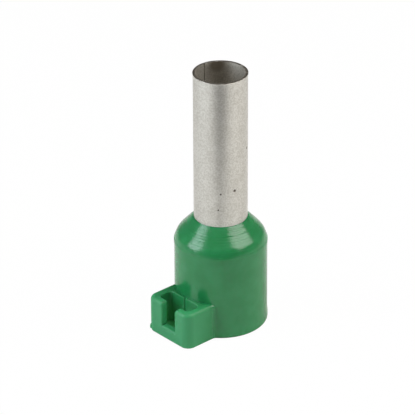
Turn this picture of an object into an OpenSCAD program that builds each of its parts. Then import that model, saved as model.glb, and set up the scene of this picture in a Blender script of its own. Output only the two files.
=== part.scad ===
// Insulated wire ferrule, standing on the mouth of its collar.
// The origin is the centre of the mouth, +Z runs up the sleeve, and the tag holder faces -Y.

/* [Sleeve] */
// Bore of the metal sleeve, which the bare strands of the wire fill
sleeve_bore = 3.54; // [3.2:0.02:4.0]
// Wall of the metal sleeve
sleeve_wall = 0.2; // [0.15:0.01:0.25]
// Length of the sleeve that stands clear of the collar
sleeve_out = 11.5; // [8:0.5:18]
// Gap of the butt seam between the edges of the rolled strip
seam_gap = 0.04; // [0.02:0.01:0.1]
// Direction of the seam about the axis, counted from +X
seam_angle = 175; // [0:5:355]
// How far the cut rim spreads outwards
rim_spread = 0.03; // [0.01:0.01:0.08]
// Height over which the rim spreads
rim_h = 0.3; // [0.1:0.05:0.5]
// Taper in degrees with which the flare begins, where the collar's nose holds the sleeve
grip_taper = 3; // [1:0.5:5]
// Height of the bell mouth that lies inside the collar
bell_h = 0.85; // [0.4:0.05:1]
// Running of the sleeve in the collar's nose, on each side
fit_gap = 0.01; // [0.01:0.01:0.03]

/* [Collar] */
// Height of the collar, from its mouth to the tip of its nose
collar_h = 8.5; // [7.5:0.25:12]
// Bore that takes the insulation of the wire
insulation_bore = 6.1; // [5.8:0.05:6.6]
// Wall of the collar beside that bore, at its thinnest
collar_wall = 0.365; // [0.3:0.005:0.5]
// Draft of the collar's straight wall, in degrees
draft = 0.05; // [0:0.05:1]
// Half angle of the nose about the axis, in degrees
nose_angle = 42.75; // [38:0.25:46]
// Wall of the nose, square to its cone
nose_wall = 0.45; // [0.35:0.05:0.55]
// Lip of plastic around the sleeve at the tip of the nose
nose_lip = 0.03; // [0.02:0.01:0.1]
// Rounding of the shoulder between the straight wall and the nose
shoulder_r = 1.28; // [0.8:0.02:1.4]
// Height of the raised ring left by the mould at the shoulder
ring_h = 0.33; // [0.2:0.01:0.5]
// How far that ring stands out
ring_out = 0.02; // [0.01:0.01:0.05]
// Height over which the mouth swells
swell_h = 0.9; // [0.6:0.1:1.4]
// How far the mouth swells
swell_out = 0.045; // [0.01:0.005:0.06]
// Rounding of the mouth's outer edge
foot_r = 0.18; // [0.05:0.01:0.25]
// Lead-in chamfer inside the mouth
lead_in = 0.12; // [0.05:0.01:0.15]

/* [Tag holder] */
// Height of the tag holder
holder_h = 2.87; // [2.4:0.1:4.5]
// Width of the pocket for the marker tag
pocket_w = 3.16; // [2.8:0.02:3.6]
// Depth of the pocket from its back to its front wall
pocket_t = 1.14; // [0.9:0.02:1.5]
// Rounding of the pocket's upright corners
pocket_r = 0.3; // [0.1:0.05:0.4]
// Floor under the pocket
floor_t = 0.45; // [0.3:0.05:0.7]
// Wall between the collar's surface and the pocket
back_wall = 0.19; // [0.1:0.01:0.4]
// Wall in front of the pocket
front_wall = 0.545; // [0.45:0.005:0.8]
// Wall at each end of the pocket
side_wall = 0.635; // [0.5:0.005:0.9]
// Rounding of the holder's upright front corners
corner_r = 0.68; // [0.4:0.02:0.8]
// Rounding of the holder's top edges
top_r = 0.3; // [0.15:0.05:0.35]
// Rounding of the holder's edges that stand on the floor
holder_foot_r = 0.13; // [0.05:0.01:0.2]
// Hollow rounding where the holder's sides run into the collar
blend_r = 0.6; // [0.3:0.05:0.8]
// Width of the slot in the front wall
slot_w = 1.38; // [1:0.1:1.8]
// Height of the slot's sill
sill_h = 0.94; // [0.8:0.02:1.4]
// Rounding of the slot's edges
slot_edge_r = 0.15; // [0.08:0.01:0.2]
// Width of the groove down the pocket's back wall
groove_w = 0.2; // [0.1:0.02:0.4]
// Depth of that groove
groove_t = 0.07; // [0.05:0.01:0.15]

/* [Hidden] */
$fn = 96;

// Overshoot of every cutter past the face that it opens
cut = 1;
// How far the holder's hollow rounding ends under the collar's surface
sink = 0.005;

// Sleeve radii, and the height of the whole part
bore_r = sleeve_bore / 2;
sleeve_r = bore_r + sleeve_wall;
total_h = collar_h + sleeve_out;

// Nose cone: a straight line from the tip down to the shoulder
nose_r = sleeve_r + fit_gap + nose_lip;
grip_r = sleeve_r + fit_gap;
sin_n = sin(nose_angle);
cos_n = cos(nose_angle);

// Height at which a line that runs inside the nose, deep under its face, has a given radius
function nose_z(radius, deep) = collar_h - (deep + (radius - nose_r) * cos_n) / sin_n;

// Point where the slightly tapered grip, which has a given radius at the tip, meets that line
function grip_end(radius, deep) =
    let (run = (deep + (radius - nose_r) * cos_n) / (sin_n - tan(grip_taper) * cos_n))
    [radius + run * tan(grip_taper), collar_h - run];

// Straight bore for the insulation, up to the cone inside the nose
insulation_r = insulation_bore / 2;
insulation_h = nose_z(insulation_r, nose_wall);

// Straight outer wall, wider towards the mouth by the draft
function wall_r(z) = insulation_r + collar_wall + (insulation_h - z) * tan(draft);
mouth_r = wall_r(0);

// Centre of the shoulder's arc, which touches the straight wall and the nose cone
arc_z = (collar_h * sin_n - shoulder_r - (mouth_r - shoulder_r / cos(draft) - nose_r) * cos_n)
    / (sin_n - tan(draft) * cos_n);
arc_r = wall_r(arc_z) - shoulder_r / cos(draft);

// Tag holder, counted from the axis
pocket_back = mouth_r + back_wall;
pocket_front = pocket_back + pocket_t;
holder_front = pocket_front + front_wall;
holder_w = pocket_w + 2 * side_wall;

// Point on the inner face of the sleeve's wall, opposite a bend from one slope to the next
function inside_bend(bend, slope, next_slope) =
    let (mid = (slope + next_slope) / 2)
    bend - sleeve_wall / cos((next_slope - slope) / 2) * [cos(mid), sin(mid)];

// Metal sleeve: a strip rolled to a tube, belled at the bottom and spread at the cut rim
module sleeve() {
    grip_top = [sleeve_r, collar_h];
    grip_low = grip_end(sleeve_r, nose_wall + fit_gap);
    bell_edge = grip_low + bell_h * [tan(nose_angle), -1];
    profile = [
        [bore_r, total_h],
        [sleeve_r + rim_spread, total_h],
        [sleeve_r, total_h - rim_h],
        grip_top,
        grip_low,
        bell_edge,
        inside_bend(bell_edge, nose_angle, nose_angle),
        inside_bend(grip_low, grip_taper, nose_angle),
        inside_bend(grip_top, 0, grip_taper),
    ];
    color("silver") difference() {
        rotate_extrude() polygon(profile);
        rotate([0, 0, seam_angle])
            translate([0, -seam_gap / 2, 0])
            cube([collar_h, seam_gap, total_h + cut]);
    }
}

// Outer form of the collar: swollen mouth, drafted wall, round shoulder with its ring, and nose
module collar_outside() {
    arc_top = [arc_r + shoulder_r * cos_n, arc_z + shoulder_r * sin_n];
    arc_low = [arc_r + shoulder_r * cos(draft), arc_z + shoulder_r * sin(draft)];
    swell_r = wall_r(swell_h);
    rotate_extrude() {
        polygon([
            [0, foot_r],
            [mouth_r + swell_out, foot_r],
            [mouth_r + swell_out, swell_h / 2],
            [swell_r, swell_h],
            arc_low,
            [arc_r, arc_z],
            arc_top,
            [nose_r, collar_h],
            [0, collar_h],
        ]);
        intersection() {
            translate([arc_r, arc_z]) circle(r = shoulder_r);
            translate([arc_r, arc_z]) square(shoulder_r);
        }
        intersection() {
            translate([arc_r, arc_z]) circle(r = shoulder_r + ring_out);
            translate([arc_r, arc_z]) square([shoulder_r + ring_out, ring_h / 2]);
        }
        translate([arc_r, arc_z - ring_h / 2]) square([shoulder_r + ring_out, ring_h / 2]);
        square([mouth_r + swell_out - foot_r, foot_r]);
        translate([mouth_r + swell_out - foot_r, foot_r]) circle(r = foot_r);
    }
}

// Space inside the collar: lead-in, insulation bore, cone and the tapered seat of the sleeve
module collar_inside() {
    rotate_extrude() polygon([
        [0, -cut],
        [insulation_r + lead_in, -cut],
        [insulation_r + lead_in, 0],
        [insulation_r, lead_in],
        [insulation_r, insulation_h],
        grip_end(grip_r, nose_wall),
        [grip_r, collar_h],
        [grip_r, collar_h + cut],
        [0, collar_h + cut],
    ]);
}

// What a corner loses when it is rounded, beyond the arc around the origin
module round_off(r) {
    difference() {
        square(r + cut);
        circle(r = r);
    }
}

// Side view of the holder's wall, rounded at its outer top and bottom corners
module holder_edge(run) {
    difference() {
        square([run, holder_h]);
        translate([run - top_r, holder_h - top_r]) round_off(top_r);
        translate([run - holder_foot_r, holder_foot_r]) mirror([0, 1]) round_off(holder_foot_r);
    }
}

// Hollow rounding between one side of the holder and the collar, about an upright axis
module holder_blend() {
    blend_x = holder_w / 2 + blend_r;
    reach = wall_r(holder_h) + blend_r - sink;
    blend_y = sqrt(reach * reach - blend_x * blend_x);
    turn = atan2(blend_y, blend_x);
    translate([blend_x, -blend_y, 0])
        rotate([0, 0, 180 - turn])
        rotate_extrude(angle = turn)
        translate([blend_r + side_wall, 0])
        mirror([1, 0])
        holder_edge(side_wall);
}

// Solid block of the holder, before its pocket is cut
module holder_block() {
    side_x = holder_w / 2 - corner_r;
    side_y = holder_front - corner_r;
    translate([-side_x, 0, 0])
        rotate([90, 0, 90])
        mirror([1, 0, 0])
        linear_extrude(2 * side_x)
        holder_edge(holder_front);
    for (side = [0, 1]) mirror([side, 0, 0]) {
        rotate([90, 0, 0]) linear_extrude(side_y) holder_edge(holder_w / 2);
        translate([side_x, -side_y, 0])
            rotate([0, 0, -90])
            rotate_extrude(angle = 90)
            holder_edge(corner_r);
        holder_blend();
    }
}

// Plan of the pocket, with round corners
module pocket_plan() {
    run = pocket_w / 2 - pocket_r;
    square([2 * run, pocket_t], center = true);
    square([pocket_w, pocket_t - 2 * pocket_r], center = true);
    for (x = [-run, run], y = [-1, 1])
        translate([x, y * (pocket_t / 2 - pocket_r)]) circle(r = pocket_r);
}

// Outline of a gap between two rounded edges, open towards +Y, as wide as the slot
module open_gap(deep, edge_r) {
    translate([-slot_w / 2, -deep]) square([slot_w, deep + cut]);
    for (side = [0, 1]) mirror([side, 0]) translate([slot_w / 2, -edge_r]) difference() {
        square([edge_r, edge_r + cut]);
        translate([edge_r, 0]) circle(r = edge_r);
    }
}

// Pocket for the tag, the slot in front of it and the groove down its back
module holder_cuts() {
    pocket_mid = (pocket_back + pocket_front) / 2;
    deep_h = holder_h - floor_t;
    translate([0, -pocket_mid, floor_t]) linear_extrude(deep_h + cut) pocket_plan();
    translate([-groove_w / 2, -pocket_back - pocket_r, floor_t])
        cube([groove_w, pocket_r + groove_t, deep_h + cut]);
    translate([0, -holder_front, sill_h])
        linear_extrude(holder_h)
        mirror([0, 1])
        open_gap(front_wall + pocket_t / 2, slot_edge_r);
    translate([0, -pocket_mid, holder_h])
        rotate([90, 0, 0])
        linear_extrude(holder_front)
        open_gap(top_r, top_r);
}

// Green plastic moulding: the collar with the tag holder on its side, in one piece
module collar() {
    color("seagreen") difference() {
        union() {
            collar_outside();
            holder_block();
        }
        collar_inside();
        holder_cuts();
    }
}

sleeve();
collar();
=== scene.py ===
# %% [markdown]
# A wire ferrule is a short tube of tinned copper that is crimped onto the stripped end of a
# stranded wire. This one has a green plastic collar that takes the wire's insulation, and the
# collar has a small box on its side that holds a marker tag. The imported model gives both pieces
# at their real size, as a frame. This file models them again with the small forms that a part
# so small shows close up, and gives them their finishes.

# %% Load the frame
from math import atan2, cos, pi, radians, sin, sqrt, tan
from random import Random

import bmesh
import bpy
from mathutils import Matrix, Vector


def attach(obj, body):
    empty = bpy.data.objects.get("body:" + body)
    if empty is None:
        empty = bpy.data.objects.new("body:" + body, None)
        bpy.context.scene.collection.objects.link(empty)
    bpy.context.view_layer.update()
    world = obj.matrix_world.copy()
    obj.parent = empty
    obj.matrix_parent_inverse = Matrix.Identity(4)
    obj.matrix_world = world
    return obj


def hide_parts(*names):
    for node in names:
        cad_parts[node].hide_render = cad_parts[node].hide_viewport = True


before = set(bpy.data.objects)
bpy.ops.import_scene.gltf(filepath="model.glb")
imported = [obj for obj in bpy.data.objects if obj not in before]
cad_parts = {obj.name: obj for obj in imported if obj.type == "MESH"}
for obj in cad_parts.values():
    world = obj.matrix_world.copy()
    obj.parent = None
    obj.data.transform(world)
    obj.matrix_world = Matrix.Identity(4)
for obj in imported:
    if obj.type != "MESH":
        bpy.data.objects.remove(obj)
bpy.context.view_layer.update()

MM = 0.001

# %% [markdown]
# The ferrule is 20 mm high, and its smallest forms are hundredths of a millimetre. Many modelling
# operators merge or skip what is smaller than a fixed distance that suits furniture better. So
# each piece is modelled with one unit for one millimetre, and scaled down to metres as its last
# step. Every length below is therefore a plain number of millimetres.

# %% Sizes that both pieces share
SLEEVE_R = 1.97
SLEEVE_WALL = 0.2
SLEEVE_BORE_R = SLEEVE_R - SLEEVE_WALL
TOTAL_H = 20
COLLAR_H = 8.5
NOSE_ANGLE = radians(42.75)
GRIP_TAPER = radians(3)
NOSE_WALL = 0.45
FIT_GAP = 0.01
NOSE_TIP_R = SLEEVE_R + 0.04

print("sleeve", 2 * SLEEVE_R, "mm across, standing", TOTAL_H - COLLAR_H, "mm clear of the collar")

# %% [markdown]
# An operator works on whatever is selected, and the frame's own meshes are selected after
# loading. These helpers let go of everything first, and then select faces and edges by their
# place, so that each step touches only what it names.

# %% Helpers for selecting by place
NEAR = 0.002


def near(value, wanted):
    """True if a measure is the wanted one, apart from rounding."""
    return abs(value - wanted) < NEAR


def clear_selection():
    """Leaves edit mode and lets go of everything."""
    if bpy.context.mode != "OBJECT":
        bpy.ops.object.mode_set(mode="OBJECT")
    bpy.ops.object.select_all(action="DESELECT")


def hold(piece):
    """Selects one piece and nothing else."""
    clear_selection()
    piece.select_set(True)
    bpy.context.view_layer.objects.active = piece


def edit(piece):
    """Opens one piece in edit mode, with nothing in it selected."""
    hold(piece)
    bpy.ops.object.mode_set(mode="EDIT")
    bpy.ops.mesh.select_all(action="DESELECT")


def middle(part):
    """Middle of a vertex, an edge or a face."""
    points = [v.co for v in getattr(part, "verts", [part])]
    return sum(points, Vector()) / len(points)


def pick(kind, place, facing=None):
    """Selects the parts of one kind whose middle fits, and for faces the normal too."""
    bpy.ops.mesh.select_mode(type=kind)
    bpy.ops.mesh.select_all(action="DESELECT")
    mesh = bpy.context.edit_object.data
    shape = bmesh.from_edit_mesh(mesh)
    shape.normal_update()
    parts = {"VERT": shape.verts, "EDGE": shape.edges, "FACE": shape.faces}[kind]
    found = [p for p in parts if place(middle(p)) and (facing is None or facing(p.normal))]
    for part in found:
        part.select_set(True)
    bmesh.update_edit_mesh(mesh)
    return len(found)


def faces_up(normal):
    """True for a normal that points up."""
    return normal.z > 0.9


def reach(point):
    """Distance of a point from the axis of the ferrule."""
    return point.xy.length


# %% Helpers for starting a piece and for cutting one with another
def begin(name):
    """Names the primitive that was just added, and moves its place into its mesh."""
    piece = bpy.context.object
    piece.name = name
    bpy.ops.object.transform_apply(location=True, rotation=True, scale=True)
    return piece


def bisect_all(point, normal):
    """In edit mode, cuts new edges all round the piece where a plane passes."""
    bpy.ops.mesh.select_all(action="SELECT")
    bpy.ops.mesh.bisect(plane_co=point, plane_no=normal)


def combine(piece, other, operation):
    """Joins another solid to a piece, or cuts it away, and removes the other."""
    hold(piece)
    solid = piece.modifiers.new("combine", "BOOLEAN")
    solid.operation = operation
    solid.solver = "EXACT"
    solid.object = other
    bpy.ops.object.modifier_apply(modifier=solid.name)
    bpy.data.objects.remove(other)


# %% [markdown]
# The collar is moulded in a two-part tool whose cavity was turned on a lathe: a straight wall
# that swells a little at the mouth, a round shoulder and a cone that closes on the sleeve. A
# lathe form can be spun from a section, or drawn out ring by ring from a cylinder. Drawing out
# suits a form with few rings, and it leaves whole loops of edges, so the shoulder and the mouth
# can be rounded afterwards by bevelling one loop each.

# %% Draw a turned form out of a cylinder
ROUND = 288


def turned(name, stations):
    """A cylinder drawn out upwards through rings, each given as its radius and its height."""
    (low_r, low_z), (first_r, first_z) = stations[:2]
    clear_selection()
    bpy.ops.mesh.primitive_cylinder_add(
        vertices=ROUND,
        radius=low_r,
        depth=first_z - low_z,
        location=(0, 0, (first_z + low_z) / 2),
    )
    piece = begin(name)
    edit(piece)
    pick("FACE", lambda p: near(p.z, first_z), faces_up)
    bpy.ops.transform.resize(
        value=(first_r / low_r, first_r / low_r, 1), center_override=(0, 0, first_z)
    )
    for (radius, height), (next_r, next_z) in zip(stations[1:], stations[2:]):
        bpy.ops.mesh.extrude_region_move(
            TRANSFORM_OT_translate={"value": (0, 0, next_z - height)}
        )
        bpy.ops.transform.resize(
            value=(next_r / radius, next_r / radius, 1), center_override=(0, 0, next_z)
        )
    return piece


# %% Collar: the outside, with sharp corners
MOUTH_R = 3.466
SWELL_H = 0.9
WALL_R = 3.42
WALL_TOP_R = 3.415
shoulder_z = COLLAR_H - (WALL_TOP_R - NOSE_TIP_R) / tan(NOSE_ANGLE)

collar = turned(
    "collar_moulding",
    [
        (MOUTH_R, 0),
        (MOUTH_R, SWELL_H / 2),
        (WALL_R, SWELL_H),
        (WALL_TOP_R, shoulder_z),
        (NOSE_TIP_R, COLLAR_H),
    ],
)
print("shoulder corner at", round(shoulder_z, 3), "mm")

# %% Collar: round the shoulder and the mouth
SHOULDER_R = 1.28
SHOULDER_STEPS = 16
MOUTH_ROUNDING = 0.18
MOUTH_STEPS = 6
shoulder_run = SHOULDER_R * tan(NOSE_ANGLE / 2)

pick("EDGE", lambda p: near(p.z, shoulder_z))
bpy.ops.mesh.bevel(offset=shoulder_run, segments=SHOULDER_STEPS, affect="EDGES")
pick("EDGE", lambda p: near(p.z, 0) and reach(p) > WALL_R)
bpy.ops.mesh.bevel(offset=MOUTH_ROUNDING, segments=MOUTH_STEPS, affect="EDGES")

# %% [markdown]
# The mould leaves two marks that the light finds: a ring a few hundredths of a millimetre proud
# under the shoulder, and on one side a hair-fine line where the shoulder meets the cone. Bisecting
# planes cut the edges of both. The faces of the ring are then extruded along their normals. The
# points in the middle of the line are pushed in over three arcs, each shorter than the last, so
# the line is a V that fades out at both ends. Its two faces mirror another part of the room than
# the cone does, and it shows up dark.

# %% Collar: the marks of the mould
RING_BOTTOM = 6.314
RING_TOP = 6.644
RING_OUT = 0.02
LINE_Z = shoulder_z + shoulder_run * cos(NOSE_ANGLE)
LINE_W = 0.1
LINE_DEPTH = 0.012
LINE_MIDDLE = radians(-75)
LINE_ARCS = (radians(15), radians(23), radians(31))


def off_line(p):
    """Angle about the axis between a point and the middle of the line."""
    return abs(atan2(p.y, p.x) - LINE_MIDDLE)


for height in (RING_BOTTOM, RING_TOP, LINE_Z - LINE_W / 2, LINE_Z, LINE_Z + LINE_W / 2):
    bisect_all((0, 0, height), (0, 0, 1))
count = pick("FACE", lambda p: RING_BOTTOM < p.z < RING_TOP and reach(p) > SLEEVE_R)
bpy.ops.mesh.extrude_region_shrink_fatten(TRANSFORM_OT_shrink_fatten={"value": RING_OUT})
print("ring of", count, "faces")
for arc in LINE_ARCS:
    count = pick("VERT", lambda p: abs(p.z - LINE_Z) < LINE_W / 4 and off_line(p) < arc)
    bpy.ops.transform.shrink_fatten(value=-LINE_DEPTH / len(LINE_ARCS))
print("line of", count, "points at", round(LINE_Z, 3), "mm")

# %% [markdown]
# The cone of the mould was turned with a fine feed, and its rings show wherever a lamp is mirrored
# in the cone. They are only a few thousandths of a millimetre deep, but a bump in the finish would
# be lost at this scale, so they are modelled. The edges that run up the cone are subdivided, and
# each ring of points moves in or out along its normals by its own small amount.

# %% Collar: the fine rings on the cone
RIPPLE_ROWS = 36
RIPPLE = 0.006
RIPPLE_SEED = 5

cone_bottom = LINE_Z + LINE_W / 2
cone_h = COLLAR_H - cone_bottom
depths = Random(RIPPLE_SEED)

pick("EDGE", lambda p: near(p.z, cone_bottom + cone_h / 2))
bpy.ops.mesh.subdivide(number_cuts=RIPPLE_ROWS)
for row in range(1, RIPPLE_ROWS + 1):
    height = cone_bottom + cone_h * row / (RIPPLE_ROWS + 1)
    count = pick("VERT", lambda p: near(p.z, height))
    bpy.ops.transform.shrink_fatten(value=depths.uniform(-RIPPLE, RIPPLE))
print(RIPPLE_ROWS, "rings of", count, "points each")
clear_selection()

# %% [markdown]
# The tag holder is a box that grows out of the collar's wall. A marker tag slides down into its
# pocket and is read through the slot in front. Its plan is a grid of straight lines, so it is
# built the way a contour model is: a floor slab is cut into cells, and the cells of each wall are
# extruded upwards, first all but the pocket to the slot's sill, and then all but the slot too.

# %% Tag holder: sizes, counted from the axis
HOLDER_H = 2.87
HOLDER_HALF = 2.215
HOLDER_FRONT = 5.296
POCKET_HALF = 1.58
POCKET_FRONT = 4.751
POCKET_BACK = 3.611
GROOVE_HALF = 0.1
GROOVE_BACK = 3.541
SLOT_HALF = 0.69
FLOOR_T = 0.45
SILL_H = 0.94
CORE_SHIFT = 0.07

# %% [markdown]
# The holder's sides don't run straight into the collar. A hollow rounding leads each of them onto
# the round wall, which it reaches at a tangent. In the mesh the side bends there, and the bend is
# rounded later on. The rounding ends a hair under the wall's surface, so that the two skins cross
# cleanly when they are joined.

# %% Tag holder: where the hollow rounding lies
BLEND_R = 0.45
BLEND_SINK = 0.008
BLEND_SPARE = 0.02

blend_x = HOLDER_HALF + BLEND_R
blend_y = -sqrt((WALL_R - BLEND_SINK + BLEND_R) ** 2 - blend_x**2)
blend_turn = atan2(-blend_y, blend_x)
blend_run = BLEND_R * tan(blend_turn / 2)
bend_y = blend_y + blend_run
flank = blend_run + BLEND_SPARE
root_x = HOLDER_HALF + flank * sin(blend_turn)
root_y = bend_y + flank * cos(blend_turn)
print("side bends at", round(bend_y, 3), "and ends at", round(root_x, 3), round(root_y, 3))

# %% Tag holder: the floor slab, cut into cells
clear_selection()
bpy.ops.mesh.primitive_cube_add(
    size=1,
    location=(0, (root_y - HOLDER_FRONT) / 2, FLOOR_T / 2),
    scale=(2 * HOLDER_HALF, HOLDER_FRONT + root_y, FLOOR_T),
)
holder = begin("tag_holder")
edit(holder)
for half in (POCKET_HALF, SLOT_HALF, GROOVE_HALF):
    bisect_all((CORE_SHIFT + half, 0, 0), (1, 0, 0))
    bisect_all((CORE_SHIFT - half, 0, 0), (1, 0, 0))
bisect_all((0, bend_y, 0), (0, 1, 0))
pick("VERT", lambda p: near(abs(p.x), HOLDER_HALF) and near(p.y, root_y))
bpy.ops.transform.resize(value=(root_x / HOLDER_HALF, 1, 1), center_override=(0, 0, 0))
for depth in (POCKET_FRONT, POCKET_BACK, GROOVE_BACK):
    bisect_all((0, -depth, 0), (0, 1, 0))


# %% Tag holder: raise the walls
FLAT_BELOW = radians(1)


def aside(p):
    """Distance of a point from the middle of the pocket, across the holder."""
    return abs(p.x - CORE_SHIFT)


def in_pocket(p):
    """True over the pocket or over the groove down its back."""
    pocket = aside(p) < POCKET_HALF and -POCKET_FRONT < p.y < -POCKET_BACK
    groove = aside(p) < GROOVE_HALF and -POCKET_BACK < p.y < -GROOVE_BACK
    return pocket or groove


def in_slot(p):
    """True over the slot in the front wall."""
    return aside(p) < SLOT_HALF and p.y < -POCKET_FRONT


def raise_walls(start, end, left_out):
    """Extrudes every cell upwards that lies at one height and isn't left out."""
    count = pick("FACE", lambda p: near(p.z, start) and not left_out(p), faces_up)
    bpy.ops.mesh.extrude_region_move(TRANSFORM_OT_translate={"value": (0, 0, end - start)})
    print("raised", count, "cells to", end, "mm")


raise_walls(FLOOR_T, SILL_H, in_pocket)
raise_walls(SILL_H, HOLDER_H, in_slot)
bpy.ops.mesh.select_all(action="SELECT")
bpy.ops.mesh.dissolve_limited(angle_limit=FLAT_BELOW)

# %% [markdown]
# No edge of a moulding is truly sharp, not even those of the fine groove down the pocket's back.
# The upright corners come first, because the top rounding then runs round them in one sweep. The
# other edges are rounded together by one Bevel modifier whose width each edge scales by its own
# weight, so where three roundings of different size meet, as at the top of the slot, they close in
# a ball corner as on the real part.

# %% Tag holder: upright corners
CORNER_R = 0.68
CORNER_STEPS = 12
BLEND_STEPS = 8
POCKET_R = 0.3
POCKET_STEPS = 8
GROOVE_R = 0.032
GROOVE_STEPS = 4


def round_uprights(place, run, steps):
    """Rounds the upright edges at a place, from so far on either side of them."""
    count = pick("EDGE", place)
    bpy.ops.mesh.bevel(offset=run, segments=steps, affect="EDGES")
    print("rounded", count, "upright edges over", round(run, 3), "mm")


def on_side(p):
    """True on the outer sides of the holder."""
    return near(abs(p.x), HOLDER_HALF)


round_uprights(lambda p: on_side(p) and near(p.y, -HOLDER_FRONT), CORNER_R, CORNER_STEPS)
round_uprights(lambda p: on_side(p) and near(p.y, bend_y), blend_run, BLEND_STEPS)
for end in (POCKET_FRONT, POCKET_BACK):
    round_uprights(
        lambda p: near(aside(p), POCKET_HALF) and near(p.y, -end), POCKET_R, POCKET_STEPS
    )
for end in (POCKET_BACK, GROOVE_BACK):
    round_uprights(
        lambda p: near(aside(p), GROOVE_HALF) and near(p.y, -end), GROOVE_R, GROOVE_STEPS
    )

# %% Tag holder: every other edge, by weight
TOP_R = 0.3
SLOT_EDGE_R = 0.15
INNER_EDGE_R = 0.09
SILL_EDGE_R = 0.25
FOOT_R = 0.13
EDGE_STEPS = 8


def weigh(radius, place):
    """Gives the edges at a place the weight that rounds them to a radius."""
    count = pick("EDGE", place)
    bpy.ops.transform.edge_bevelweight(value=radius / TOP_R)
    print("weighed", count, "edges for", radius, "mm")


def on_front(p, place, face):
    """True where the slot's edge at a place across the holder meets a face of the front wall."""
    return near(aside(p), place) and near(p.y, -face)


def on_outline(p):
    """True on the holder's outer walls, where the holder stands clear of the collar."""
    outside = aside(p) > POCKET_HALF + NEAR or p.y < -POCKET_FRONT - NEAR
    return outside and p.y < root_y - NEAR


def on_rim(p):
    """True on the pocket's outline, apart from the groove."""
    inside = aside(p) < POCKET_HALF + NEAR and -POCKET_FRONT - NEAR < p.y < -POCKET_BACK + NEAR
    at_groove = aside(p) < GROOVE_HALF + GROOVE_R + NEAR and p.y > -POCKET_BACK - NEAR
    return inside and not at_groove


weigh(TOP_R, lambda p: near(p.z, HOLDER_H) and on_outline(p))
weigh(INNER_EDGE_R, lambda p: near(p.z, HOLDER_H) and on_rim(p))
weigh(FOOT_R, lambda p: near(p.z, 0) and on_outline(p))
weigh(SLOT_EDGE_R, lambda p: on_front(p, SLOT_HALF, HOLDER_FRONT))
weigh(INNER_EDGE_R, lambda p: on_front(p, SLOT_HALF, POCKET_FRONT))
weigh(SILL_EDGE_R, lambda p: near(p.z, SILL_H) and on_front(p, 0, HOLDER_FRONT))
weigh(INNER_EDGE_R, lambda p: near(p.z, SILL_H) and on_front(p, 0, POCKET_FRONT))

hold(holder)
edges = holder.modifiers.new("round edges", "BEVEL")
edges.limit_method = "WEIGHT"
edges.width = TOP_R
edges.segments = EDGE_STEPS
edges.use_clamp_overlap = False
bpy.ops.object.modifier_apply(modifier=edges.name)
print("holder has", len(holder.data.polygons), "faces")

# %% [markdown]
# The mould also left a speck of flash, low on the holder's front corner at its left. It is a cube
# rounded by a bevel, whose middle lies a little under the corner's skin.

# %% Tag holder: the speck of flash
FLASH_SIZE = (0.3, 0.34, 0.3)
FLASH_Z = 0.23
FLASH_SINK = 0.07
FLASH_ROUNDING = 0.07
FLASH_STEPS = 4
FLASH_TURN = radians(222)

corner = Vector((-(HOLDER_HALF - CORNER_R), -(HOLDER_FRONT - CORNER_R), FLASH_Z))
outward = Vector((cos(FLASH_TURN), sin(FLASH_TURN), 0))

clear_selection()
bpy.ops.mesh.primitive_cube_add(
    size=1,
    location=corner + outward * (CORNER_R - FLASH_SINK),
    rotation=(0, 0, FLASH_TURN),
    scale=FLASH_SIZE,
)
flash = begin("flash")
edit(flash)
bpy.ops.mesh.select_all(action="SELECT")
bpy.ops.mesh.bevel(offset=FLASH_ROUNDING, segments=FLASH_STEPS, affect="EDGES")
combine(holder, flash, "UNION")

# %% [markdown]
# Box and collar are one moulding, so they become one mesh before the inside is cut. The inside is
# a turned form again, made as a solid and cut away: a lead-in, the bore for the insulation, and
# the cone and seat that grip the sleeve. The holder's root vanishes with it.

# %% Collar: join the holder and cut the inside
LEAD_IN_R = 3.17
LEAD_IN_H = 0.12
INSULATION_R = 3.05
SEAT_R = SLEEVE_R + FIT_GAP
OVERSHOOT = 1


def inside_nose(radius, deep):
    """Height at which a line deep under the nose's face has a given radius."""
    return COLLAR_H - (deep + (radius - NOSE_TIP_R) * cos(NOSE_ANGLE)) / sin(NOSE_ANGLE)


def grip_end(radius, deep):
    """Where the tapered grip, with a given radius at the nose's tip, meets that line."""
    run = deep + (radius - NOSE_TIP_R) * cos(NOSE_ANGLE)
    run /= sin(NOSE_ANGLE) - tan(GRIP_TAPER) * cos(NOSE_ANGLE)
    return radius + run * tan(GRIP_TAPER), COLLAR_H - run


inside = turned(
    "inside",
    [
        (LEAD_IN_R, -OVERSHOOT),
        (LEAD_IN_R, 0),
        (INSULATION_R, LEAD_IN_H),
        (INSULATION_R, inside_nose(INSULATION_R, NOSE_WALL)),
        grip_end(SEAT_R, NOSE_WALL),
        (SEAT_R, COLLAR_H),
        (SEAT_R, COLLAR_H + OVERSHOOT),
    ],
)
combine(collar, holder, "UNION")
combine(collar, inside, "DIFFERENCE")
print("collar has", len(collar.data.polygons), "faces")

# %% [markdown]
# The sleeve is a strip of tinned copper, rolled until its edges meet in a butt seam. Its upper
# end was cut off, which spread the rim a little, and its lower end is belled inside the collar.
# It is modelled as it is made: the section of the wall is drawn out of a plane, and then spun
# round the axis, less the hair of a gap at the seam.

# %% Sleeve: the section of its wall
RIM_H = 0.3
RIM_SPREAD = 0.03
RIM_OPENS = 0.02
BELL_H = 0.85


def inside_bend(slope, next_slope):
    """Step from a bend on the wall's outer face to the same bend on its inner face."""
    mid = (slope + next_slope) / 2
    step = SLEEVE_WALL / cos((next_slope - slope) / 2)
    return Vector((-step * cos(mid), 0, -step * sin(mid)))


def draw_out(old, new):
    """Extrudes the selected edge of the section, from one outer and inner pair of points on."""
    bpy.ops.mesh.extrude_region_move(TRANSFORM_OT_translate={"value": new[0] - old[0]})
    moved = new[1] - (old[1] + new[0] - old[0])
    shape = bmesh.from_edit_mesh(bpy.context.edit_object.data)
    for vert in shape.verts:
        if vert.select and (vert.co - new[0]).length > NEAR:
            vert.co += moved
    bmesh.update_edit_mesh(bpy.context.edit_object.data)


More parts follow.
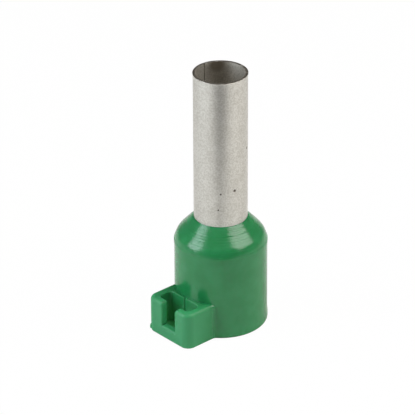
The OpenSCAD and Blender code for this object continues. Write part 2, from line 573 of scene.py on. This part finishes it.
straight_top = TOTAL_H - RIM_H
grip_r, grip_z = grip_end(SLEEVE_R, NOSE_WALL + FIT_GAP)
outer = [
    Vector((SLEEVE_R, 0, COLLAR_H)),
    Vector((grip_r, 0, grip_z)),
    Vector((grip_r + BELL_H * tan(NOSE_ANGLE), 0, grip_z - BELL_H)),
]
slopes = [0, GRIP_TAPER, NOSE_ANGLE, NOSE_ANGLE]
inner = [p + inside_bend(a, b) for p, a, b in zip(outer, slopes, slopes[1:])]

clear_selection()
bpy.ops.mesh.primitive_plane_add(
    size=1,
    location=(SLEEVE_R - SLEEVE_WALL / 2, 0, (straight_top + COLLAR_H) / 2),
    rotation=(pi / 2, 0, 0),
)
bpy.context.object.scale = (SLEEVE_WALL, straight_top - COLLAR_H, 1)
sleeve = begin("sleeve_tube")
edit(sleeve)
pick("EDGE", lambda p: near(p.z, COLLAR_H))
draw_out((outer[0], outer[0] - Vector((SLEEVE_WALL, 0, 0))), (outer[1], inner[1]))
draw_out((outer[1], inner[1]), (outer[2], inner[2]))
pick("EDGE", lambda p: near(p.z, straight_top))
low_rim = Vector((SLEEVE_R, 0, straight_top))
high_rim = Vector((SLEEVE_R + RIM_SPREAD, 0, TOTAL_H))
low_bore = Vector((SLEEVE_BORE_R, 0, straight_top))
high_bore = Vector((SLEEVE_BORE_R + RIM_OPENS, 0, TOTAL_H))
draw_out((low_rim, low_bore), (high_rim, high_bore))
print("bell ends", round(outer[2].x, 3), "mm from the axis")

# %% Sleeve: spin the section
SEAM_GAP = 0.004
SEAM_TURN = radians(177.5)
gap_turn = SEAM_GAP / SLEEVE_R

bpy.ops.mesh.select_all(action="SELECT")
bpy.ops.mesh.spin(steps=ROUND, angle=2 * pi - gap_turn, center=(0, 0, 0), axis=(0, 0, 1))
bpy.ops.mesh.select_all(action="SELECT")
bpy.ops.mesh.normals_make_consistent(inside=False)

# %% [markdown]
# The strip's edges all but touch on the outside. Inside they gape a little, because the shears
# drew them down, and that is the dark line that shows in the bore. The inner corners of both edges
# are moved apart for it, by less than the distance to the next row of points.

# %% Sleeve: open the seam on the inside
SEAM_OPENS = 0.032

inner_wall = [Vector((SLEEVE_BORE_R, 0, COLLAR_H)), *inner[1:], low_bore, high_bore]
for turn, away in ((0, -SEAM_OPENS), (gap_turn, SEAM_OPENS)):
    round_axis = Matrix.Rotation(turn, 3, "Z")
    count = pick("VERT", lambda p: any((p - round_axis @ q).length < NEAR for q in inner_wall))
    bpy.ops.transform.translate(value=(0, away, 0))
    print("moved", count, "inner corners of the seam")

# %% Sleeve: turn the seam to its place
def turn_about_axis(piece, angle):
    """Turns a whole piece about the axis of the ferrule, and applies the turn to its mesh."""
    hold(piece)
    piece.rotation_euler = (0, 0, angle)
    bpy.ops.object.transform_apply(rotation=True)


turn_about_axis(sleeve, SEAM_TURN - gap_turn / 2)

# %% [markdown]
# The cut left the rim's edges soft on the outside and a fine burr on top. The burr is uneven, so
# a Displace modifier moves the vertices of the rim along the axis by a slow noise. It works on a
# vertex group that holds the rim alone, and its rest level is high, so that it sinks nearly all of
# the rim by a little and the tallest points keep their height.

# %% Sleeve: the cut rim
RIM_ROUNDING = 0.025
RIM_STEPS = 3
BURR = 0.05
BURR_SPACING = 0.9
BURR_REST = 0.9

edit(sleeve)
pick("EDGE", lambda p: near(p.z, TOTAL_H) and not (SLEEVE_BORE_R + NEAR < reach(p) < SLEEVE_R))
bpy.ops.mesh.bevel(offset=RIM_ROUNDING, segments=RIM_STEPS, affect="EDGES")
hold(sleeve)
rim = sleeve.vertex_groups.new(name="rim")
rim_verts = [v.index for v in sleeve.data.vertices if v.co.z > TOTAL_H - RIM_H / 2]
rim.add(rim_verts, 1.0, "REPLACE")

unevenness = bpy.data.textures.new("rim burr", "CLOUDS")
unevenness.noise_scale = BURR_SPACING
burr = sleeve.modifiers.new("burr", "DISPLACE")
burr.texture = unevenness
burr.vertex_group = rim.name
burr.direction = "Z"
burr.mid_level = BURR_REST
burr.strength = BURR
bpy.ops.object.modifier_apply(modifier=burr.name)
print("rim of", len(rim_verts), "vertices, at most", max(v.co.z for v in sleeve.data.vertices))

# %% [markdown]
# A few pits in the plating are deep enough to see. Each is a shallow bite of a small ball that
# is squashed flat against the wall, cut out of the sleeve at its place. Each pit is given as its
# direction about the axis, its height and its radius.

# %% Sleeve: pits in the plating
PITS = [(-42.1, 11.19, 0.085), (-47.0, 9.9, 0.075), (-11.3, 11.35, 0.12), (30.2, 14.27, 0.13)]
PIT_DEPTH = 0.04
PIT_HEIGHT = 0.8
PIT_SEGMENTS = 24
PIT_RINGS = 12


def pit_centre(direction, height):
    """Point on the sleeve's face where a pit lies."""
    turn = radians(direction)
    return Vector((SLEEVE_R * cos(turn), SLEEVE_R * sin(turn), height))


for direction, height, size in PITS:
    clear_selection()
    bpy.ops.mesh.primitive_uv_sphere_add(
        segments=PIT_SEGMENTS,
        ring_count=PIT_RINGS,
        radius=size,
        location=pit_centre(direction, height),
        rotation=(0, 0, radians(direction)),
    )
    bpy.context.object.scale = (PIT_DEPTH / size, 1, PIT_HEIGHT)
    combine(sleeve, begin("pit"), "DIFFERENCE")
print(len(PITS), "pits cut,", len(sleeve.data.polygons), "faces")

# %% [markdown]
# Both pieces are now whole. Doubled points left by the cuts are merged, and an edge that is left
# without a face by it is deleted. Faces that meet at a small angle are shaded as one smooth skin,
# and the normals are weighted by the size of the faces, so that wide flat faces stay flat right up
# to their rounded edges. Then each piece goes down to metres and takes the place of its node in
# the frame.

# %% Finish the two pieces
SMOOTH_BELOW = radians(32)
DOUBLES = 0.0004
EQUAL_WEIGHT = 0.0001


def finish_mesh(piece, node):
    """Cleans, shades and scales a finished piece, and puts it in the place of its node."""
    edit(piece)
    bpy.ops.mesh.select_all(action="SELECT")
    bpy.ops.mesh.remove_doubles(threshold=DOUBLES)
    bpy.ops.mesh.delete_loose()
    hold(piece)
    bpy.ops.object.shade_smooth_by_angle(angle=SMOOTH_BELOW)
    weighted = piece.modifiers.new("weighted normals", "WEIGHTED_NORMAL")
    weighted.keep_sharp = True
    weighted.thresh = EQUAL_WEIGHT
    bpy.ops.object.modifier_apply(modifier=weighted.name)
    piece.scale = (MM, MM, MM)
    bpy.ops.object.transform_apply(scale=True)
    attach(piece, "root")
    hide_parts(node)
    print(node, "is", len(piece.data.vertices), "vertices,", len(piece.data.polygons), "faces")


finish_mesh(sleeve, "sleeve")
finish_mesh(collar, "collar")

# %% [markdown]
# A finish is a small tree of nodes. Both finishes need the same few steps, so these helpers add
# them. The first ones add a node with its settings, and do sums and mixtures on one or two values.

# %% Helpers for the finishes: nodes, sums and mixtures
def new_finish(name):
    """A material with one main shader, its node tree and that shader."""
    finish = bpy.data.materials.new(name)
    finish.use_nodes = True
    return finish, finish.node_tree, finish.node_tree.nodes["Principled BSDF"]


def feed(tree, node, inputs):
    """Gives a node its inputs, as numbers or as links."""
    for name, value in inputs.items():
        if isinstance(value, bpy.types.NodeSocket):
            tree.links.new(value, node.inputs[name])
        else:
            node.inputs[name].default_value = value


def add(tree, kind, inputs=None, **settings):
    """Adds a node with its settings and its inputs."""
    made = tree.nodes.new(kind)
    for name, value in settings.items():
        setattr(made, name, value)
    feed(tree, made, inputs or {})
    return made


def calc(tree, operation, *values):
    """One sum, such as ADD or MULTIPLY, on values or links."""
    return add(tree, "ShaderNodeMath", dict(enumerate(values)), operation=operation).outputs[0]


def times(tree, first, *others):
    """The product of several values or links."""
    for other in others:
        first = calc(tree, "MULTIPLY", first, other)
    return first


def fade(tree, value, low, high, start=0.0, end=1.0):
    """Maps a value between two limits smoothly onto the range from start to end."""
    inputs = {"Value": value, "From Min": low, "From Max": high, "To Min": start, "To Max": end}
    made = add(tree, "ShaderNodeMapRange", inputs, interpolation_type="SMOOTHSTEP")
    return made.outputs["Result"]


def blend(tree, share, first, second):
    """Mixes two colours, or links to them, by a share from 0 to 1."""
    made = add(tree, "ShaderNodeMix", {0: share, 6: first, 7: second}, data_type="RGBA")
    return made.outputs[2]


# %% [markdown]
# The others tell a finish where it is. A piece's own coordinates, in millimetres, keep every
# pattern at its real size wherever the piece goes. From them follow the height, the distance from
# the axis and the way along any direction, and noise reads them too.

# %% Helpers for the finishes: places and patterns
def millimetres(tree):
    """The piece's own coordinates, in millimetres."""
    place = add(tree, "ShaderNodeTexCoord").outputs["Object"]
    return add(tree, "ShaderNodeMapping", {"Vector": place, "Scale": (1 / MM,) * 3}).outputs[0]


def xyz(tree, place):
    """The three parts of a place or a direction."""
    return add(tree, "ShaderNodeSeparateXYZ", {0: place}).outputs


def vector_value(tree, operation, inputs):
    """One sum on vectors that gives a single value."""
    return add(tree, "ShaderNodeVectorMath", inputs, operation=operation).outputs["Value"]


def along(tree, place, axis):
    """How far a place lies along a direction."""
    return vector_value(tree, "DOT_PRODUCT", {0: place, 1: axis})


def from_axis(tree, place):
    """Distance of a place from the axis of the ferrule."""
    flat = add(tree, "ShaderNodeVectorMath", {0: place, 1: (1, 1, 0)}, operation="MULTIPLY")
    return vector_value(tree, "LENGTH", {0: flat.outputs[0]})


def noise(tree, place, scale, detail=2.0, roughness=0.5):
    """Soft noise with so many humps to a millimetre."""
    inputs = {"Vector": place, "Scale": scale, "Detail": detail, "Roughness": roughness}
    return add(tree, "ShaderNodeTexNoise", inputs).outputs["Fac"]


# %% [markdown]
# The collar is a glossy polyolefin. A slow noise shifts its green a little, as in any coloured
# moulding. The walls of the tag holder are thin, so more light gets through them, and that light
# is painted: the holder's green is painted lighter the further out it lies. Deep in the pocket
# light goes from wall to wall and takes on more of the colour each time, which the render stops
# after a few bounces, so that bounce light is painted too: the walls there are painted a lighter,
# stronger green. It ends at the pocket's floor.

# %% Finish of the collar: its greens
GREEN_DEEP = (0.015, 0.205, 0.063, 1)
GREEN_LIGHT = (0.022, 0.235, 0.079, 1)
# painted light: the holder is painted a lighter green for the light through its thin walls
HOLDER_LIT_GREEN = (0.032, 0.275, 0.107, 1)
# painted bounce light: the pocket's walls are painted a lighter, stronger green
POCKET_BOUNCE_GREEN = (0.075, 0.43, 0.15, 1)
GREEN_CLOUDS = 0.9
HOLDER_LIT_SPAN = (MOUTH_R - 0.2, MOUTH_R + 1.6)
POCKET_EDGE = 0.1
POCKET_DEEP = (SILL_H, HOLDER_H - 0.3)
POCKET_FLOOR = (FLOOR_T - 0.2, FLOOR_T + 0.05)


def deep_in_pocket(tree, place):
    """Share of the painted bounce light: 1 deep in the pocket, and 0 near its top, under its floor
    and outside it.
    """
    spot = xyz(tree, place)
    sideways = calc(tree, "ABSOLUTE", calc(tree, "SUBTRACT", spot["X"], CORE_SHIFT))
    return times(
        tree,
        fade(tree, sideways, POCKET_HALF, POCKET_HALF + POCKET_EDGE, 1.0, 0.0),
        fade(tree, spot["Y"], -POCKET_FRONT - POCKET_EDGE, -POCKET_FRONT),
        fade(tree, spot["Y"], -POCKET_BACK, -POCKET_BACK + POCKET_EDGE, 1.0, 0.0),
        fade(tree, spot["Z"], *POCKET_DEEP, 1.0, 0.0),
        fade(tree, spot["Z"], *POCKET_FLOOR),
    )


def green_tint(tree, place):
    """The collar's colour at a place, with painted light on the holder and in the pocket."""
    clouds = fade(tree, noise(tree, place, GREEN_CLOUDS), 0.3, 0.7)
    tint = blend(tree, clouds, GREEN_DEEP, GREEN_LIGHT)
    holder_lit = fade(tree, from_axis(tree, place), *HOLDER_LIT_SPAN)
    tint = blend(tree, holder_lit, tint, HOLDER_LIT_GREEN)
    return blend(tree, deep_in_pocket(tree, place), tint, POCKET_BOUNCE_GREEN)


# %% [markdown]
# The skin of the turned form mirrors the lamps, and the holder's skin is more matt, because its
# part of the mould was sunk and not turned. A little light soaks in and comes out again. The rings
# that are modelled on the cone are the strong ones. The finest ones are a noise that depends on
# the height alone, read by a bump, and they all but vanish below the shoulder.

# %% Finish of the collar: its gloss, its relief and the whole
GREEN_GLOSS = 0.15
GLOSS_SPREAD = 0.03
GLOSS_CLOUDS = 2.2
HOLDER_MATT = 0.34
HOLDER_EDGE = 0.3
PLASTIC_IOR = 1.5
SOAK_SHARE = 0.5
SOAK_BY_COLOUR = (0.3, 1.0, 0.5)
SOAK_DEPTH = 0.9
FINE_RINGS = {"Scale": 7.0, "Detail": 3.0, "Roughness": 0.75}
NOSE_RINGS = (6.4, 7.2)
WALL_RINGS = 0.06
GREEN_GRAINS = 14.0
GREEN_GRAIN_H = 0.12
GREEN_RELIEF = 0.012


def green_gloss(tree, place):
    """The collar's roughness: a little uneven, and more matt on the holder."""
    glossy, dull = GREEN_GLOSS - GLOSS_SPREAD, GREEN_GLOSS + GLOSS_SPREAD
    skin = fade(tree, noise(tree, place, GLOSS_CLOUDS), 0.3, 0.7, glossy, dull)
    on_holder = fade(tree, from_axis(tree, place), MOUTH_R, MOUTH_R + HOLDER_EDGE)
    return calc(tree, "MULTIPLY_ADD", on_holder, HOLDER_MATT, skin)


def green_relief(tree, place):
    """The finest rings of the turned mould, and a faint grain."""
    height = xyz(tree, place)["Z"]
    rings = add(tree, "ShaderNodeTexNoise", {"W": height, **FINE_RINGS}, noise_dimensions="1D")
    on_nose = fade(tree, height, *NOSE_RINGS, WALL_RINGS, 1.0)
    grain = calc(tree, "MULTIPLY", noise(tree, place, GREEN_GRAINS), GREEN_GRAIN_H)
    return calc(tree, "MULTIPLY_ADD", rings.outputs["Fac"], on_nose, grain)


def bumped(tree, relief, strength, height):
    """Normals that follow a relief of so many millimetres."""
    inputs = {"Strength": strength, "Distance": height * MM, "Height": relief}
    return add(tree, "ShaderNodeBump", inputs).outputs[0]


def green_plastic_finish():
    """Glossy green moulded plastic."""
    finish, tree, shader = new_finish("green_plastic")
    place = millimetres(tree)
    inputs = {
        "Base Color": green_tint(tree, place),
        "Roughness": green_gloss(tree, place),
        "IOR": PLASTIC_IOR,
        "Subsurface Weight": SOAK_SHARE,
        "Subsurface Radius": SOAK_BY_COLOUR,
        "Subsurface Scale": SOAK_DEPTH * MM,
        "Normal": bumped(tree, green_relief(tree, place), 1.0, GREEN_RELIEF),
    }
    feed(tree, shader, inputs)
    return finish


def dress(piece, finish):
    """Gives a piece its only finish."""
    piece.data.materials.clear()
    piece.data.materials.append(finish)
    print(piece.name, "wears", finish.name, "with", len(finish.node_tree.nodes), "nodes")


dress(collar, green_plastic_finish())

# %% [markdown]
# The sleeve's tin is satin and slightly warm. Up close it is mottled at two scales: grains of a
# tenth of a millimetre, and clouds of about one millimetre where the plating is duller. The bore
# is duller and browner than the outside, because less tin reaches it. It is darker at one place on
# its far wall, just behind the rim, and dirt sits in the seam. Dark specks sit in the pits.

# %% Finish of the sleeve: its plating, outside and in the bore
TIN_BRIGHT = (0.685, 0.665, 0.63, 1)
TIN_DULL = (0.545, 0.52, 0.48, 1)
BORE_BRIGHT = (0.75, 0.71, 0.65, 1)
BORE_DULL = (0.57, 0.54, 0.485, 1)
# two spots darken the bore's far wall just below the rim; the same dark colour fills the seam
DIRT_AND_DARK_PATCH = (0.3, 0.26, 0.21, 1)
BORE_DARK_PATCHES = [(146, TOTAL_H - 0.25, 0.75), (144, TOTAL_H - 0.6, 1.2)]
DARK_PATCH_SHARE = 0.5
SEAM_DIRT = 0.9
SEAM_EDGE = (0.02, 0.045)
SPECK = (0.12, 0.10, 0.085, 1)


def near_spots(tree, place, spots):
    """1 at spots on the sleeve, each given as direction, height and size, and 0 off them."""
    total = 0.0
    for direction, height, size in spots:
        gap = vector_value(tree, "DISTANCE", {0: place, 1: pit_centre(direction, height)})
        total = calc(tree, "ADD", total, fade(tree, gap, 0.5 * size, 1.1 * size, 1.0, 0.0))
    return total


def in_seam(tree, place):
    """The share of dirt in the seam, and 0 off it."""
    off_seam = calc(tree, "ABSOLUTE", along(tree, place, (-sin(SEAM_TURN), cos(SEAM_TURN), 0)))
    at_seam = fade(tree, off_seam, *SEAM_EDGE, SEAM_DIRT, 0.0)
    towards_seam = along(tree, place, (cos(SEAM_TURN), sin(SEAM_TURN), 0))
    return calc(tree, "MULTIPLY", at_seam, fade(tree, towards_seam, 0.0, 1.0))


def plating_tint(tree, place, bright, in_bore):
    """The tin's colour, from how bright its mottle is and how far in the bore it lies."""
    outside = blend(tree, bright, TIN_DULL, TIN_BRIGHT)
    bore = blend(tree, bright, BORE_DULL, BORE_BRIGHT)
    darkened = calc(tree, "MULTIPLY", near_spots(tree, place, BORE_DARK_PATCHES), DARK_PATCH_SHARE)
    darkened = calc(tree, "MAXIMUM", darkened, in_seam(tree, place))
    return blend(tree, in_bore, outside, blend(tree, darkened, bore, DIRT_AND_DARK_PATCH))


# %% [markdown]
# On the rim the cut has torn the strip, and its face is dark copper and tin with light smears. The
# smears are partly smeared tin and partly painted glints, where the torn face would catch the
# lamps. The face is known by its normal, which points up. Close below the rim the cut left faint
# scratches that run round the tube: a noise that is stretched round the tube and squeezed along
# it. The bore is smoother than the outside and more matt.

# %% Finish of the sleeve: its cut rim, its relief and the whole
CUT_DARK = (0.45, 0.41, 0.36, 1)
CUT_TIN_AND_GLINT = (1.0, 0.97, 0.9, 1)
CUT_NORMAL = (0.35, 0.8)
CUT_GLINT_SMEARS = 1.6
CUT_TORN = 3.5
CUT_RELIEF = 5.0
SCRATCH_SHAPE = (0.25, 0.25, 14.0)
SCRATCH_ZONE = (TOTAL_H - 2.2, TOTAL_H - 0.6)
SCRATCH_DEPTH = 0.25
BORE_RELIEF = 0.2
TIN_CLOUDS = 1.1
TIN_GRAINS = 8.5
TIN_GLOSS = 0.34
TIN_GLOSS_SPREAD = 0.06
BORE_MATT = 0.18
BUMP_SHARE = 0.8
TIN_RELIEF = 0.02


def tin_relief(tree, place, grains, in_bore, on_cut):
    """The plating's grain, the scratches near the rim and the torn face of the cut."""
    squeezed = add(tree, "ShaderNodeMapping", {"Vector": place, "Scale": SCRATCH_SHAPE})
    scratches = fade(tree, noise(tree, squeezed.outputs[0], 1.0), 0.62, 0.72)
    near_rim = fade(tree, xyz(tree, place)["Z"], *SCRATCH_ZONE)
    marks = times(tree, scratches, near_rim, -SCRATCH_DEPTH)
    on_outside = fade(tree, in_bore, 0.0, 1.0, 1.0, BORE_RELIEF)
    skin = calc(tree, "MULTIPLY", calc(tree, "ADD", grains, marks), on_outside)
    torn = times(tree, noise(tree, place, CUT_TORN), on_cut, CUT_RELIEF)
    return calc(tree, "ADD", skin, torn)


def tinned_copper_finish():
    """Satin tin plating, mottled, with a duller bore and a torn rim."""
    finish, tree, shader = new_finish("tinned_copper")
    place = millimetres(tree)
    grains = noise(tree, place, TIN_GRAINS, 3.0, 0.6)
    clouds = noise(tree, place, TIN_CLOUDS, 4.0, 0.6)
    mottle = calc(tree, "MULTIPLY_ADD", clouds, 0.25, calc(tree, "MULTIPLY", grains, 0.75))
    in_bore = fade(
        tree, from_axis(tree, place), SLEEVE_BORE_R + 0.02, SLEEVE_R - 0.05, 1.0, 0.0
    )
    normal = add(tree, "ShaderNodeTexCoord").outputs["Normal"]
    on_cut = fade(tree, xyz(tree, normal)["Z"], *CUT_NORMAL)

    tint = plating_tint(tree, place, fade(tree, mottle, 0.38, 0.62), in_bore)
    # painted glints: the cut face's light smears are partly smeared tin and partly painted
    # highlights
    smear_and_glint = fade(tree, noise(tree, place, CUT_GLINT_SMEARS), 0.52, 0.66)
    tint = blend(tree, on_cut, tint, blend(tree, smear_and_glint, CUT_DARK, CUT_TIN_AND_GLINT))
    tint = blend(tree, near_spots(tree, place, PITS), tint, SPECK)
    dull, glossy = TIN_GLOSS + TIN_GLOSS_SPREAD, TIN_GLOSS - TIN_GLOSS_SPREAD
    shine = fade(tree, mottle, 0.35, 0.65, dull, glossy)
    relief = tin_relief(tree, place, grains, in_bore, on_cut)
    inputs = {
        "Base Color": tint,
        "Metallic": 1.0,
        "Roughness": calc(tree, "MULTIPLY_ADD", in_bore, BORE_MATT, shine),
        "Normal": bumped(tree, relief, BUMP_SHARE, TIN_RELIEF),
    }
    feed(tree, shader, inputs)
    return finish


dress(sleeve, tinned_copper_finish())

# %% [markdown]
# The camera is a long lens, as for a catalogue picture of a small part. Its place follows from the
# outlines of the part: it looks along one direction about the axis, from a little above, at a
# point just beside the axis, and it is rolled by a quarter of a degree. The lens is given for a
# sensor 36 mm wide.

# %% Camera
VIEW_TURN = radians(48.13)
VIEW_RISE = radians(28.302)
VIEW_ROLL = 0.00496
VIEW_DISTANCE = 209.49
AIM_RIGHT = -0.9588
AIM_UP = 9.076
LENS = 249.75
SENSOR = 36
NEAREST = 0.01
FARTHEST = 10

view_right = Vector((cos(VIEW_TURN), sin(VIEW_TURN), 0))
view_front = Vector((sin(VIEW_TURN), -cos(VIEW_TURN), 0))
view_back = view_front * cos(VIEW_RISE) + Vector((0, 0, sin(VIEW_RISE)))
view_up = view_back.cross(view_right)
rolled_right = view_right * cos(VIEW_ROLL) - view_up * sin(VIEW_ROLL)
rolled_up = view_right * sin(VIEW_ROLL) + view_up * cos(VIEW_ROLL)
aim = view_right * AIM_RIGHT + Vector((0, 0, AIM_UP))

lens = bpy.data.cameras.new("camera")
lens.lens = LENS
lens.sensor_width = SENSOR
lens.clip_start = NEAREST
lens.clip_end = FARTHEST
camera = bpy.data.objects.new("camera", lens)
axes = Matrix((rolled_right, rolled_up, view_back)).transposed().to_4x4()
camera.matrix_world = Matrix.Translation((aim + view_back * VIEW_DISTANCE) * MM) @ axes
bpy.context.scene.collection.objects.link(camera)
bpy.context.scene.camera = camera
print("camera at", [round(v, 4) for v in camera.matrix_world.translation])

# %% [markdown]
# The ferrule stands on a wide pale floor. To the camera the floor is nearly white, as paper lit
# for a catalogue, which is done by giving it light of its own that only camera rays and mirrored
# rays see. The rest of its surface is plain matt paper, so it still takes the ferrule's shadow
# and throws light back up. In front of the part, where the camera and its stand would shade the
# paper, a painted shade darkens the paper's colour. The painted shade begins a little off, grows
# towards the camera and narrows towards the part, and the camera itself doesn't see it. The middle
# of the sleeve mirrors it, and is darker than its flanks.

# %% Floor
FLOOR_SIDE = 3
FLOOR_GAP = 0.005
FLOOR_PAPER = (0.84, 0.83, 0.81, 1)
FLOOR_SHADE = (0.16, 0.16, 0.16, 1)
FLOOR_ROUGHNESS = 0.9
FLOOR_SPECULAR = 0.1
SHADE_START = 23
SHADE_SOFT = 15
SHADE_WIDEN = 0.9
CAMERA_SHARE = 0.985
MIRROR_SHARE = 0.08
WHITE = (1, 1, 1, 1)


def glow_share(tree):
    """Share of the floor's own light: one for camera rays, and another for mirrored ones."""
    path = add(tree, "ShaderNodeLightPath").outputs
    mirrored = calc(tree, "MAXIMUM", path["Is Glossy Ray"], path["Is Transmission Ray"])
    seen = calc(tree, "MULTIPLY", path["Is Camera Ray"], CAMERA_SHARE)
    return calc(tree, "MULTIPLY_ADD", mirrored, MIRROR_SHARE, seen)


def floor_tint(tree, place):
    """The paper's colour, with the painted shade that all but camera rays see."""
    forward, sideways = (along(tree, place, axis) for axis in (view_front, view_right))
    narrowed = times(tree, calc(tree, "ABSOLUTE", sideways), SHADE_WIDEN)
    depth = calc(tree, "SUBTRACT", forward, narrowed)
    in_shade = fade(tree, depth, SHADE_START - SHADE_SOFT, SHADE_START + SHADE_SOFT)
    seen = add(tree, "ShaderNodeLightPath").outputs["Is Camera Ray"]
    unseen = calc(tree, "SUBTRACT", 1.0, seen)
    return blend(tree, times(tree, in_shade, unseen), FLOOR_PAPER, FLOOR_SHADE)


clear_selection()
bpy.ops.mesh.primitive_plane_add(size=FLOOR_SIDE, location=(0, 0, -FLOOR_GAP * MM))
floor = begin("floor")
paper, tree, shader = new_finish("floor paper")
surface = {
    "Base Color": floor_tint(tree, millimetres(tree)),
    "Roughness": FLOOR_ROUGHNESS,
    "Specular IOR Level": FLOOR_SPECULAR,
}
feed(tree, shader, surface)
glow = add(tree, "ShaderNodeEmission", {"Color": WHITE, "Strength": 1.0})
parts = {0: glow_share(tree), 1: shader.outputs[0], 2: glow.outputs[0]}
mix = add(tree, "ShaderNodeMixShader", parts)
feed(tree, tree.nodes["Material Output"], {"Surface": mix.outputs[0]})
dress(floor, paper)

# %% [markdown]
# The room around is dim, so that the lamps make the contrast. It is a little lighter on the
# camera's side than behind the part, lighter still at the left and right, where its walls catch
# the lamps, and lightest straight above. Camera rays see plain white in its place.

# %% Surroundings
SURROUND = (1.0, 0.96, 0.89, 1)
ROOM_LEVEL = 0.07
ROOM_FRONT = 0.03
ROOM_SIDES = 0.24
ROOM_TOP = 0.34
CEILING = (0.45, 0.95)

world = bpy.data.worlds.new("surroundings")
world.use_nodes = True
bpy.context.scene.world = world
tree = world.node_tree
way = add(tree, "ShaderNodeTexCoord").outputs["Generated"]
ahead, across, upwards = (along(tree, way, axis) for axis in (view_front, view_right, (0, 0, 1)))
level = calc(tree, "MULTIPLY_ADD", ahead, ROOM_FRONT, ROOM_LEVEL)
level = calc(tree, "MULTIPLY_ADD", times(tree, across, across), ROOM_SIDES, level)
level = calc(tree, "ADD", level, fade(tree, upwards, *CEILING, 0.0, ROOM_TOP))
seen = add(tree, "ShaderNodeLightPath").outputs["Is Camera Ray"]
light = {
    "Color": blend(tree, seen, SURROUND, WHITE),
    "Strength": calc(tree, "MAXIMUM", seen, level),
}
feed(tree, tree.nodes["Background"], light)
print("surroundings of", len(tree.nodes), "nodes")

# %% [markdown]
# Two soft boxes light the part, one on each side and a little towards the camera, as the two
# upright reflections on the collar's cone show. The left one is cooler and stands lower, and the
# right one is warmer and hangs higher. A box's sides are given as the angles that it fills as
# seen from the part, and its light as the level that a mirror would show. The power follows from
# both: an area lamp gives off a quarter of its watts for each square metre and unit of level.

# %% Lamps
LAMP_DISTANCE = 180
WATTS_PER_LEVEL = 4


def soft_box(name, turn, rise, spread, level, tint):
    """A soft box at a direction counted from the camera's, facing the part."""
    turn, rise = radians(turn), radians(rise)
    ahead = view_front * cos(turn) + view_right * sin(turn)
    direction = ahead * cos(rise) + Vector((0, 0, sin(rise)))
    width, height = (2 * LAMP_DISTANCE * tan(radians(angle / 2)) * MM for angle in spread)
    lamp = bpy.data.lights.new(name, "AREA")
    lamp.shape = "RECTANGLE"
    lamp.size = width
    lamp.size_y = height
    lamp.energy = level * WATTS_PER_LEVEL * width * height
    lamp.color = tint
    box = bpy.data.objects.new(name, lamp)
    box.location = (direction * LAMP_DISTANCE + Vector((0, 0, COLLAR_H))) * MM
    box.rotation_euler = direction.to_track_quat("Z", "Y").to_euler()
    box.visible_camera = False
    bpy.context.scene.collection.objects.link(box)
    print(name, "of", round(lamp.energy, 4), "W")


soft_box("left soft box", -72.5, 28.2, (32.8, 39), 4.9, (0.83, 0.925, 1.0))
soft_box("right soft box", 74.3, 47.5, (45.7, 34.5), 3.85, (1.0, 0.99, 0.95))

# %% [markdown]
# Standard view keeps a colour as it is written.

# %% View transform
bpy.context.scene.view_settings.view_transform = "Standard"
clear_selection()
